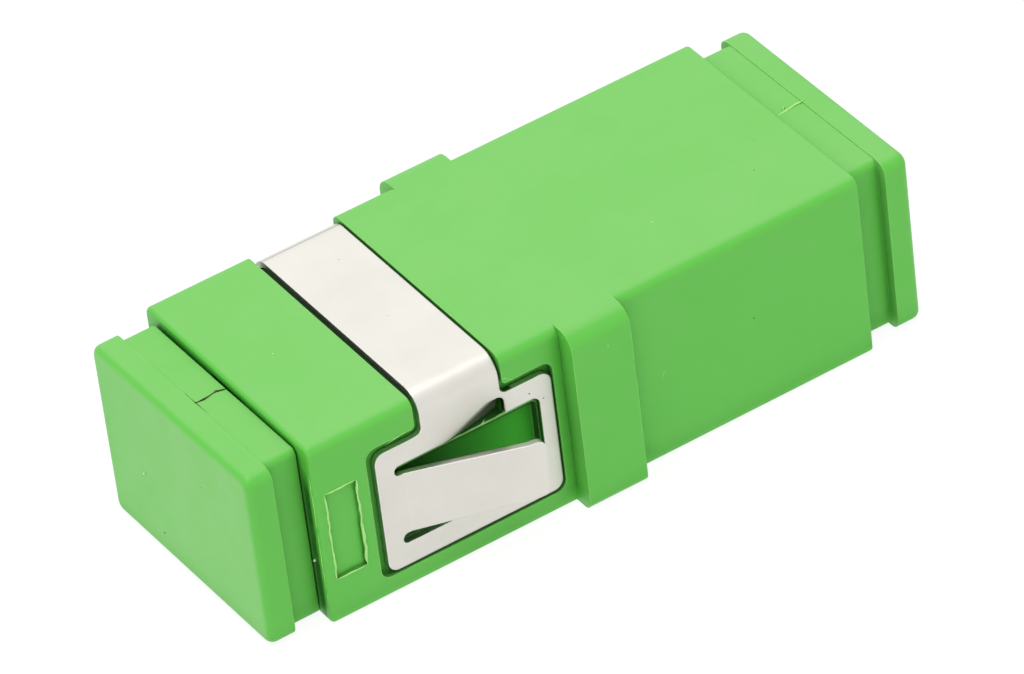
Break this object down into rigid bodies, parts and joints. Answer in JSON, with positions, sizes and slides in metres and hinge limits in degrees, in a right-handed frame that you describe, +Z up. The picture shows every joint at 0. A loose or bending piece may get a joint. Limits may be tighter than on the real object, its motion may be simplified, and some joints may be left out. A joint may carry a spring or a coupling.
{
  "type": "fibre optic adapter",
  "caption": "Simplex SC fibre adapter: a green moulded body with two ears, a folded steel panel clip, latch inserts round a split sleeve, and two pull-off dust caps.",
  "frame": {"origin": "on the wide bottom face, under the optical axis, midway between the two mouths", "axes": "+X along the optical axis from the clip end to the flange end, +Y across the width, +Z up, out of the face that the clip's strap crosses"},
  "size_m": [0.0336, 0.0166, 0.0093],
  "materials": {
    "housing_green": "satin moulded",
    "cap_green": "satin moulded",
    "insert_green": "moulded",
    "spring_steel": "rolled stainless sheet",
    "zirconia": "polished ceramic"
  },
  "bodies": {
    "adapter": {"housing_clip_half": "housing_green", "housing_flange_half": "housing_green", "panel_clip": "spring_steel", "latch_insert_left": "insert_green", "latch_insert_right": "insert_green", "alignment_sleeve": "zirconia"},
    "cap_left": {"dust_cap_left": "cap_green"},
    "cap_right": {"dust_cap_right": "cap_green"}
  },
  "joints": [
    {"name": "cap_left_pull", "type": "slide", "parent": "adapter", "child": "cap_left", "axis": [-1, 0, 0], "range_m": [0, 0.02]},
    {"name": "cap_right_pull", "type": "slide", "parent": "adapter", "child": "cap_right", "axis": [1, 0, 0], "range_m": [0, 0.02]}
  ]
}
